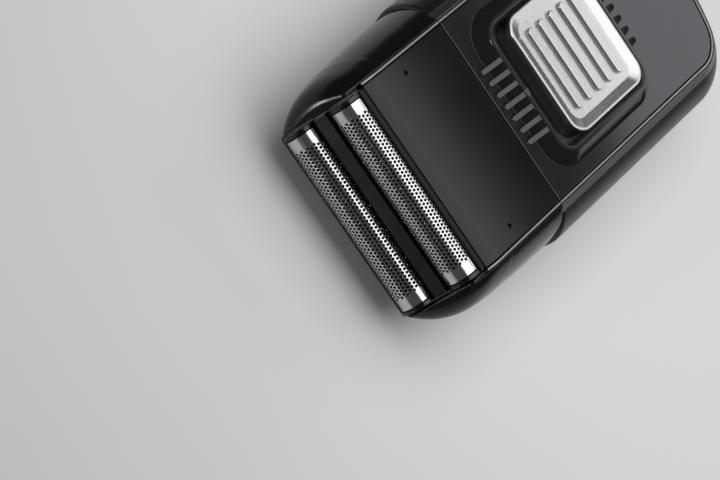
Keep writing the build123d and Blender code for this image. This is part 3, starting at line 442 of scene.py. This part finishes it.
    # The flat sheet is bent over the cutter, thickened outwards and set on the slant
    cells = add(tree, "GeometryNodeRealizeInstances", None, {"Geometry": sheet.outputs[0]})
    welded = add(tree, "GeometryNodeMergeByDistance", None,
                 {"Geometry": cells.outputs[0], "Distance": cell_weld * MM})
    angle = add(tree, "ShaderNodeMath", {"operation": "DIVIDE"},
                {0: where["Y"], 1: given["Inner Radius"]})
    arch = {}
    for axis, curve in (("Y", "SINE"), ("Z", "COSINE")):
        share = add(tree, "ShaderNodeMath", {"operation": curve}, {0: angle.outputs[0]})
        length = add(tree, "ShaderNodeMath", {"operation": "MULTIPLY"},
                     {0: share.outputs[0], 1: given["Inner Radius"]})
        arch[axis] = length.outputs[0]
    arched = add(tree, "ShaderNodeCombineXYZ", None, {"X": where["X"], **arch})
    bent = add(tree, "GeometryNodeSetPosition", None,
               {"Geometry": welded.outputs[0], "Position": arched.outputs[0]})
    outside = add(tree, "GeometryNodeExtrudeMesh", {"mode": "FACES"},
                  {"Mesh": bent.outputs[0], "Offset Scale": given["Thickness"],
                   "Individual": False})
    inside = add(tree, "GeometryNodeFlipFaces", None, {"Mesh": bent.outputs[0]})
    both = add(tree, "GeometryNodeJoinGeometry")
    tree.links.new(outside.outputs[0], both.inputs[0])
    tree.links.new(inside.outputs[0], both.inputs[0])
    closed = add(tree, "GeometryNodeMergeByDistance", None,
                 {"Geometry": both.outputs[0], "Distance": face_weld * MM})
    turn = add(tree, "ShaderNodeCombineXYZ", None, {"X": given["Tilt"]})
    placed = add(tree, "GeometryNodeTransform", None,
                 {"Geometry": closed.outputs[0], "Translation": given["Place"],
                  "Rotation": turn.outputs[0]})
    whole = add(tree, "GeometryNodeRealizeInstances", None, {"Geometry": placed.outputs[0]})
    coated = add(tree, "GeometryNodeSetMaterial", None,
                 {"Geometry": whole.outputs[0], "Material": given["Steel"]})
    add(tree, "NodeGroupOutput", None, {0: coated.outputs[0]})
    return tree, sockets


def plain_mesh(name, carrier):
    """The evaluated carrier as an object with a plain mesh at the origin."""
    bpy.context.view_layer.update()
    graph = bpy.context.evaluated_depsgraph_get()
    mesh = bpy.data.meshes.new_from_object(carrier.evaluated_get(graph))
    mesh.name = name
    piece = bpy.data.objects.new(name, mesh)
    bpy.context.scene.collection.objects.link(piece)
    bpy.data.objects.remove(carrier)
    return piece


def make_foil(name, along, tree, sockets, cells, steel):
    """One perforated foil, arched over its cutter."""
    carrier = bpy.data.objects.new(name + "_carrier", bpy.data.meshes.new(name + "_carrier"))
    bpy.context.scene.collection.objects.link(carrier)
    modifier = carrier.modifiers.new("perforated_foil", "NODES")
    modifier.node_group = tree
    field_half = hole_columns * hole_pitch / 2
    end_width = foil_length / 2 - field_half
    lengths = {"Half Pitch": hole_pitch / 2, "Row Pitch": row_pitch,
               "Field Length": (hole_columns - 1) * hole_pitch,
               "Field Width": (cell_rows - 1) * row_pitch,
               "Last Centre": field_half - hole_pitch / 4,
               "Holed Reach": (cell_rows - 2) * row_pitch / 2,
               "Filler Middle": hole_pitch / 4 - field_half, "End Width": end_width,
               "End Middle": -field_half - end_width / 2, "Sheet Width": cell_rows * row_pitch,
               "Inner Radius": inner_radius, "Thickness": foil_thickness}
    values = {"Holed Cell": cells[0], "Plain Cell": cells[1], "Columns": hole_columns,
              "Rows": cell_rows, "Place": on_slant(along, 0),
              "Tilt": math.radians(90 - slant), "Steel": steel}
    values.update({key: size * MM for key, size in lengths.items()})
    for key, value in values.items():
        modifier[sockets[key]] = value
    foil = plain_mesh(name, carrier)
    for polygon in foil.data.polygons:
        polygon.use_smooth = True
    foil.data.set_sharp_from_angle(angle=math.radians(foil_crease))
    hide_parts(name)
    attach(foil, "foil_cassette")


def make_foils(steel):
    """Both foils from one set of cells."""
    cells = (foil_tile("holed_cell", hole_pitch, row_pitch, True),
             foil_tile("plain_cell", hole_pitch, row_pitch, False))
    tree, sockets = foil_tree()
    make_foil("foil_front", foil_pitch / 2, tree, sockets, cells, steel)
    make_foil("foil_rear", -foil_pitch / 2, tree, sockets, cells, steel)
    for cell in cells:
        bpy.data.objects.remove(cell)


def dress(material, *nodes):
    """Gives CAD pieces their material."""
    for node in nodes:
        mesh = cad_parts[node].data
        mesh.materials.clear()
        mesh.materials.append(material)


def make_camera():
    """Camera where the photograph was taken from, relative to the shaver."""
    camera = bpy.data.cameras.new("camera")
    camera.sensor_fit = "HORIZONTAL"
    camera.sensor_width = sensor_mm
    camera.lens = lens_mm
    camera.clip_start = 0.01
    camera.clip_end = 50.0
    place = (Vector(camera_place) + Vector((0.0, centre_shift, case_depth))) * MM
    turn = Matrix((camera_right, camera_up, camera_back)).transposed().to_4x4()
    holder = bpy.data.objects.new("camera", camera)
    holder.matrix_world = Matrix.Translation(place) @ turn
    bpy.context.scene.collection.objects.link(holder)
    bpy.context.scene.camera = holder


def soft_box(name, place, target, width, height, power):
    """A large soft studio lamp aimed at a point."""
    lamp = bpy.data.lights.new(name, "AREA")
    lamp.shape = "RECTANGLE"
    lamp.size = width
    lamp.size_y = height
    lamp.energy = power
    holder = bpy.data.objects.new(name, lamp)
    holder.location = place
    holder.visible_camera = False
    holder.rotation_euler = (Vector(target) - Vector(place)).to_track_quat("-Z", "Y").to_euler()
    bpy.context.scene.collection.objects.link(holder)


def make_studio():
    """Pale floor, soft lamps and an even grey surround."""
    scene = bpy.context.scene
    scene.view_settings.view_transform = "Standard"
    floor_mesh = bpy.data.meshes.new("floor")
    corners = [(x * floor_reach, y * floor_reach, 0) for x, y in ((-1, -1), (1, -1), (1, 1), (-1, 1))]
    floor_mesh.from_pydata(corners, [], [(0, 1, 2, 3)])
    floor_mesh.materials.append(pale_floor())
    floor = bpy.data.objects.new("floor", floor_mesh)
    scene.collection.objects.link(floor)
    # The two hanging lamps leave a gap that the front face mirrors as a dark band by the split
    soft_box("overhead_softbox", place=(0.02, 0.02, softbox_height), target=(0.02, 0.02, 0.0),
             width=0.44, height=0.32, power=0.93)
    soft_box("tail_softbox", place=(0.15, 0.376, softbox_height), target=(0.15, 0.376, 0.0),
             width=0.4, height=0.248, power=0.74)
    # A low lamp in front gives the cheeks their glint
    soft_box("front_softbox", place=(-0.25, -0.7, 0.1), target=(0.0, 0.0, 0.02),
             width=0.26, height=0.2, power=3.2)
    world = bpy.data.worlds.new("studio_surround")
    world.use_nodes = True
    tree = world.node_tree
    tree.nodes.clear()
    surround = add(tree, "ShaderNodeBackground", None, {"Color": colour("#505050")})
    add(tree, "ShaderNodeOutputWorld", None, {"Surface": surround.outputs[0]})
    scene.world = world


def dress_all():
    """Materials of the CAD pieces that show as they are."""
    dress(satin_black_abs(), "rear_shell", "front_shell")
    dress(satin_black_lacquer(), "head_panel")
    dress(polished_black_abs(), "head_shell")
    dress(gunmetal_lacquer(), "face_plate")
    dress(grey_satin_abs(), "body_bezel", "slide_tray")
    dress(satin_nickel(), "body_trim", "head_trim_left", "head_trim_right")
    dress(brushed_aluminium(), "slide_cap")
    dress(moulded_black_pom(), "slide_carrier", "switch_lever", "drive_chassis", "motor_end_cap",
          "eccentric_cam", "drive_bridge", "cassette_frame", "divider_bar")
    dress(ground_steel(), "case_screws", "switch_housing", "charge_socket", "motor_can",
          "motor_shaft", "motor_screws", "chassis_screws", "guide_rods", "cutter_spring_front",
          "cutter_spring_rear")
    dress(dark_plating(), "foil_carrier_front", "foil_carrier_rear")
    # The cutters get a colour darkened with painted shade from the foil over them
    dress(painted_shade_blade_steel(), "cutter_front", "cutter_rear")
    dress(sintered_bronze(), "battery_tabs", "motor_bushing", "motor_armature")
    dress(silicone_seal(), "case_seal", "shaft_seal")
    dress(green_board(), "circuit_board")
    dress(shrink_sleeve(), "battery_cell")
    dress(smoked_lens(), "indicator_lens")


dress_all()
make_foils(foil_steel())
make_studio()
make_camera()
